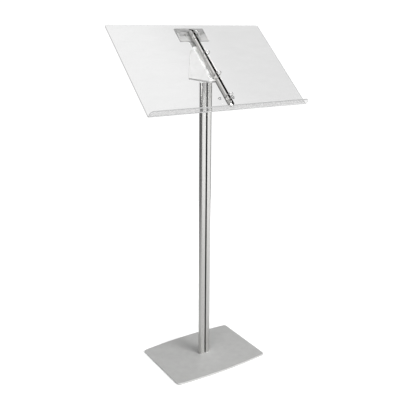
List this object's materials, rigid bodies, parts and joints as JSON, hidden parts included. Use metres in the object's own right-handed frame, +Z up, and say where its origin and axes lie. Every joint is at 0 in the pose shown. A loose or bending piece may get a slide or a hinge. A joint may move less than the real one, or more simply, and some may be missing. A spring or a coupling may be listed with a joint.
{
  "type": "lectern stand",
  "caption": "Free-standing lectern: clear bent reading panel with a ledge and a page-ring mechanism, on a slim slotted aluminium post and a flat steel base.",
  "frame": {"origin": "on the floor, on the post's vertical axis, at the middle of the base's underside", "axes": "+X to the reader's right, +Y away from the reader, +Z up along the post"},
  "size_m": [0.522, 0.2802, 1.0469],
  "materials": {
    "grey_powder_coat": "fine matt silver-grey powder coat",
    "black_rubber": "matt sheet rubber",
    "satin_aluminium": "satin natural anodised, drawn lengthwise",
    "zinc_steel": "bright zinc plated",
    "mid_grey_paint": "satin mid grey paint",
    "light_grey_paint": "satin light grey paint",
    "white_plastic": "satin white moulding",
    "clear_acrylic": "clear, polished edges",
    "clear_plastic": "clear moulding",
    "bright_chrome": "bright nickel plate on steel"
  },
  "bodies": {
    "stand": {"base_plate": "grey_powder_coat", "base_liner": "black_rubber", "post": "satin_aluminium", "post_screws": "zinc_steel", "head_screws": "zinc_steel", "post_cap": "white_plastic", "foot_plate": "mid_grey_paint", "head_cover": "white_plastic", "head_bracket": "grey_powder_coat", "head_upright": "grey_powder_coat", "top_plate": "light_grey_paint", "panel": "clear_acrylic", "upper_panel_screws": "zinc_steel", "upper_panel_nuts": "zinc_steel", "lower_panel_screws": "zinc_steel", "lower_panel_washers": "clear_plastic", "lower_panel_nuts": "zinc_steel", "ring_rail": "bright_chrome", "rail_posts": "zinc_steel", "rail_screws": "bright_chrome", "rail_nuts": "zinc_steel"},
    "left_rings": {"blade_left": "zinc_steel", "ring_left_1": "bright_chrome", "ring_left_2": "bright_chrome", "ring_left_3": "bright_chrome", "ring_left_4": "bright_chrome"},
    "right_rings": {"blade_right": "zinc_steel", "ring_right_1": "bright_chrome", "ring_right_2": "bright_chrome", "ring_right_3": "bright_chrome", "ring_right_4": "bright_chrome"}
  },
  "joints": [
    {"name": "ring_opening", "type": "hinge", "parent": "stand", "child": "left_rings", "pos_m": [-0.0082, -0.02397, 0.93479], "axis": [0, -0.7478, -0.6639], "range_deg": [0, 15]},
    {"name": "right_ring_opening", "type": "hinge", "parent": "stand", "child": "right_rings", "pos_m": [0.0082, -0.02397, 0.93479], "axis": [0, 0.7478, 0.6639], "range_deg": [0, 15]}
  ],
  "couplings": [
    {"joint": "right_ring_opening", "follows": "ring_opening", "ratio": 1}
  ]
}
